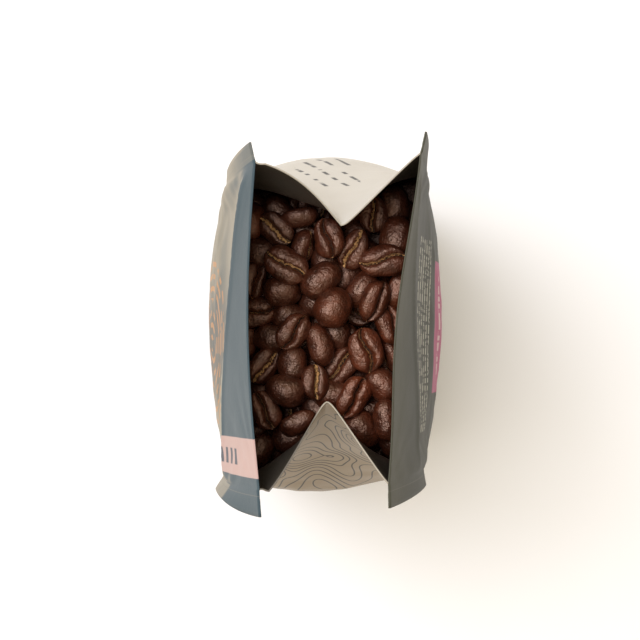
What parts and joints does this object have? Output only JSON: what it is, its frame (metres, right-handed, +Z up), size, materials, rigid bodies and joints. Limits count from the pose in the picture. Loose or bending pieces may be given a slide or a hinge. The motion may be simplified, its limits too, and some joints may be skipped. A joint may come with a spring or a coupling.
{
  "type": "coffee bag",
  "caption": "Opened upright side-gusset coffee bag with a sealed fin along each corner, full of roasted beans.",
  "frame": {"origin": "middle of the flat base that the bag stands on", "axes": "+Z up to the open mouth, front panel faces -Y, back panel faces +Y, gussets on -X and +X"},
  "size_m": [0.0948, 0.0655, 0.205],
  "materials": {
    "film": "soft-touch printed film, semi-matte: blue-grey front, olive-grey back, cream gussets, charcoal inside",
    "beans": "medium-dark roasted coffee bean, satin, finely wrinkled, golden skin left in the centre cut"
  },
  "bodies": {
    "root": {"bag": "film", "beans": "beans"}
  },
  "joints": []
}
